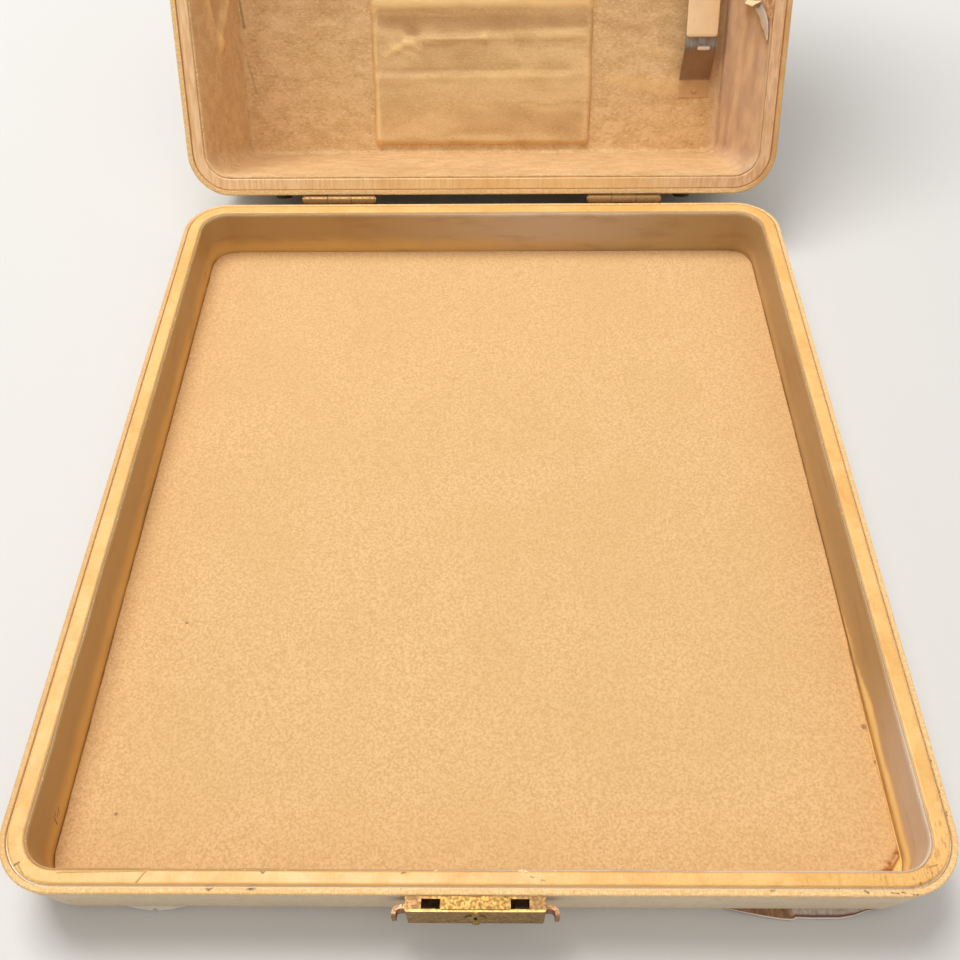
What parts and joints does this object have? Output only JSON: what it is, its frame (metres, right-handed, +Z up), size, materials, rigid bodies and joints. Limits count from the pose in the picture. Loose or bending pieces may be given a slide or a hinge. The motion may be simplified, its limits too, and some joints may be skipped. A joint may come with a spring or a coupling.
{
  "type": "typewriter case",
  "caption": "Hard carrying case with a shallow tray, a deep hinged lid, a two-tab squeeze lock with key plug, and a folding handle.",
  "frame": {"origin": "centre of the base's flat underside, on the table", "axes": "+X to the right as seen from the lock, +Y to the hinges, +Z up"},
  "size_m": [0.3678, 0.7136, 0.4094],
  "materials": {
    "shell_vinyl": "satin grained vinyl over moulded board",
    "rim_vinyl": "satin smooth vinyl over a wooden frame",
    "wall_lining": "smooth paper-backed lining",
    "lid_lining": "felted paper lining",
    "floor_board": "raw board edge",
    "floor_felt": "speckled felt",
    "strap_vinyl": "smooth cream vinyl",
    "brass": "aged",
    "spring_steel": "brushed",
    "handle_vinyl": "moulded grip",
    "foot_rubber": "matte"
  },
  "bodies": {
    "base": {"base_shell": "shell_vinyl", "base_wall_frame": "rim_vinyl", "base_wall_lining": "wall_lining", "base_floor_board": "floor_board", "base_floor_lining": "floor_felt", "base_rear_feet": "foot_rubber", "left_hinge_base_leaf": "brass", "left_hinge_pin": "brass", "right_hinge_base_leaf": "brass", "right_hinge_pin": "brass", "base_hinge_rivets": "brass", "lock_housing": "brass", "lock_back_plate": "brass", "lock_cover_plate": "brass", "left_catch_spring": "spring_steel", "right_catch_spring": "spring_steel", "lock_rivets": "brass"},
    "lid": {"lid_shell": "shell_vinyl", "lid_wall_frame": "rim_vinyl", "lid_wall_lining": "lid_lining", "lid_ceiling_lining": "lid_lining", "lid_centre_panel": "lid_lining", "hold_down_spring": "spring_steel", "hold_down_strap": "strap_vinyl", "hold_down_rivets": "spring_steel", "lid_rear_feet": "foot_rubber", "left_hinge_lid_leaf": "brass", "right_hinge_lid_leaf": "brass", "lid_hinge_rivets": "brass", "hasp_plate": "brass", "hasp_rivets": "brass", "left_handle_bracket": "brass", "right_handle_bracket": "brass", "handle_bracket_rivets": "brass", "left_handle_pin": "brass", "right_handle_pin": "brass"},
    "left_catch": {"left_catch": "brass"},
    "right_catch": {"right_catch": "brass"},
    "lock_plug": {"lock_plug": "brass"},
    "handle": {"handle_grip": "handle_vinyl"}
  },
  "joints": [
    {"name": "lid_hinge", "type": "hinge", "parent": "base", "child": "lid", "pos_m": [0, 0.2107, 0.03815], "axis": [1, 0, 0], "range_deg": [0, 119.77]},
    {"name": "left_tab_press", "type": "slide", "parent": "base", "child": "left_catch", "axis": [1, 0, 0], "range_m": [0, 0.0022], "stiffness_N_per_m": 500, "springref_m": -0.003, "deforming": ["left_catch_spring"]},
    {"name": "right_tab_press", "type": "slide", "parent": "base", "child": "right_catch", "axis": [-1, 0, 0], "range_m": [0, 0.0022], "stiffness_N_per_m": 500, "springref_m": -0.003, "deforming": ["right_catch_spring"]},
    {"name": "key_turn", "type": "hinge", "parent": "base", "child": "lock_plug", "pos_m": [0, -0.2075, 0.0285], "axis": [0, -1, 0], "range_deg": [0, 90]},
    {"name": "handle_swing", "type": "hinge", "parent": "lid", "child": "handle", "pos_m": [0, 0.46831, 0.3762], "axis": [1, 0, 0], "range_deg": [0, 182.71]}
  ]
}
